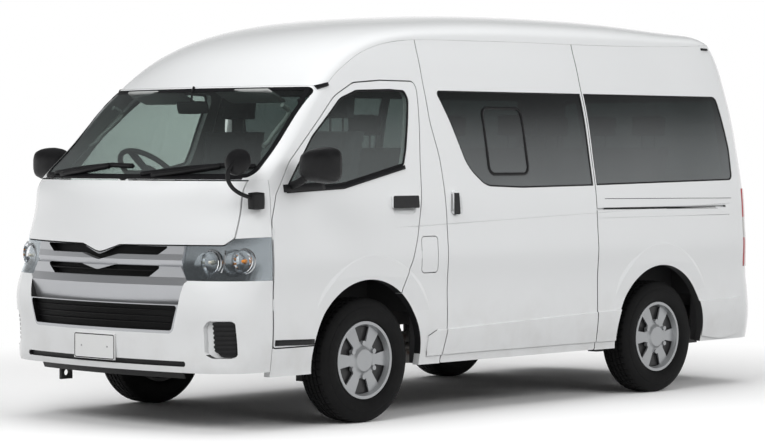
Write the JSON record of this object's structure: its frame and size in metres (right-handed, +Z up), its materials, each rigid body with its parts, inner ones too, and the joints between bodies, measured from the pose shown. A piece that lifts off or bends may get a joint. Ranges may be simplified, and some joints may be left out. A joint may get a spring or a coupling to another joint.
{
  "type": "minibus",
  "caption": "White high-roof passenger minibus with a short sloping nose, front doors, a side sliding door, tailgate, long tinted windows and steel-disc wheels with covers.",
  "frame": {"origin": "on the ground under the middle of the length, which is also the middle of the wheelbase", "axes": "+Z up, -Y to the front, +X to the vehicle's left"},
  "size_m": [2.444, 4.8391, 2.285],
  "materials": {
    "body_white": "gloss white paint",
    "glass": "tinted glass",
    "tyre": "black rubber",
    "wheel_silver": "silver paint",
    "black_plastic": "grained black",
    "chassis_black": "satin black paint",
    "engine_metal": "dull cast metal",
    "seat_fabric": "dark grey cloth",
    "lamp_clear": "clear lens",
    "lamp_bowl": "bright reflector bowls in a silver housing",
    "plate_white": "blank white plate",
    "lamp_red": "red lens",
    "trim_silver": "silver paint",
    "floor_grey": "satin grey"
  },
  "bodies": {
    "body": {"cab_side_left": "body_white", "cab_side_right": "body_white", "quarter_panel_left": "body_white", "side_panel_right": "body_white", "side_glass": "glass", "slide_door": "body_white", "slide_door_glass": "glass", "windshield": "glass", "wipers": "black_plastic", "headlamps": "lamp_bowl", "grille": "trim_silver", "front_bumper": "body_white", "fenders": "body_white", "corner_mirror": "black_plastic", "rear_bumper": "body_white", "tail_lamps": "lamp_red", "roof_panel": "body_white", "floor_pan": "floor_grey", "chassis_rails": "chassis_black", "engine": "engine_metal", "front_suspension": "chassis_black", "rear_axle": "chassis_black", "leaf_springs": "chassis_black", "exhaust": "engine_metal", "fuel_tank": "chassis_black", "spare_wheel": "black_plastic", "front_seats": "seat_fabric", "rear_seats": "seat_fabric", "dashboard": "black_plastic", "steering_wheel": "black_plastic", "screen_frame": "body_white", "lamp_covers": "lamp_clear", "grille_panels": "black_plastic", "bumper_blanks": "black_plastic", "front_plate": "plate_white"},
    "door_left": {"door_left": "body_white", "door_left_glass": "glass", "mirror_left": "black_plastic"},
    "door_right": {"door_right": "body_white", "door_right_glass": "glass", "mirror_right": "black_plastic"},
    "hood": {"hood": "body_white"},
    "tailgate": {"tailgate": "body_white", "tailgate_glass": "glass", "rear_plate": "plate_white"},
    "fuel_lid": {"fuel_lid": "body_white"},
    "knuckle_left": {"knuckle_left": "chassis_black"},
    "knuckle_right": {"knuckle_right": "chassis_black"},
    "wheel_front_left": {"wheel_front_left": "wheel_silver", "tyre_front_left": "tyre"},
    "wheel_front_right": {"wheel_front_right": "wheel_silver", "tyre_front_right": "tyre"},
    "wheel_rear_left": {"wheel_rear_left": "wheel_silver", "tyre_rear_left": "tyre"},
    "wheel_rear_right": {"wheel_rear_right": "wheel_silver", "tyre_rear_right": "tyre"}
  },
  "joints": [
    {"name": "door_left_hinge", "type": "hinge", "parent": "body", "child": "door_left", "pos_m": [0.9375, -1.9985, 0.9], "axis": [0, 0, -1], "range_deg": [0, 62]},
    {"name": "door_right_hinge", "type": "hinge", "parent": "body", "child": "door_right", "pos_m": [-0.9375, -1.9985, 0.9], "axis": [0, 0, 1], "range_deg": [0, 62]},
    {"name": "hood_hinge", "type": "hinge", "parent": "body", "child": "hood", "pos_m": [0, -2.215, 1.3185], "axis": [-1, 0, 0], "range_deg": [0, 50]},
    {"name": "tailgate_hinge", "type": "hinge", "parent": "body", "child": "tailgate", "pos_m": [0, 2.18221, 2.1335], "axis": [1, 0, 0], "range_deg": [0, 85]},
    {"name": "fuel_lid_hinge", "type": "hinge", "parent": "body", "child": "fuel_lid", "pos_m": [0.945, -0.8645, 0.9], "axis": [0, 0, -1], "range_deg": [0, 95]},
    {"name": "steer_left", "type": "hinge", "parent": "body", "child": "knuckle_left", "pos_m": [0.7395, -1.285, 0.34], "axis": [0, 0, 1], "range_deg": [-35, 35]},
    {"name": "steer_right", "type": "hinge", "parent": "body", "child": "knuckle_right", "pos_m": [-0.7395, -1.285, 0.34], "axis": [0, 0, 1], "range_deg": [-35, 35]},
    {"name": "spin_front_left", "type": "hinge", "parent": "knuckle_left", "child": "wheel_front_left", "pos_m": [0.8275, -1.285, 0.34], "axis": [1, 0, 0], "continuous": true},
    {"name": "spin_rear_left", "type": "hinge", "parent": "body", "child": "wheel_rear_left", "pos_m": [0.8275, 1.285, 0.34], "axis": [1, 0, 0], "continuous": true},
    {"name": "spin_front_right", "type": "hinge", "parent": "knuckle_right", "child": "wheel_front_right", "pos_m": [-0.8275, -1.285, 0.34], "axis": [1, 0, 0], "continuous": true},
    {"name": "spin_rear_right", "type": "hinge", "parent": "body", "child": "wheel_rear_right", "pos_m": [-0.8275, 1.285, 0.34], "axis": [1, 0, 0], "continuous": true}
  ],
  "couplings": [
    {"joint": "steer_right", "follows": "steer_left", "ratio": 1}
  ]
}
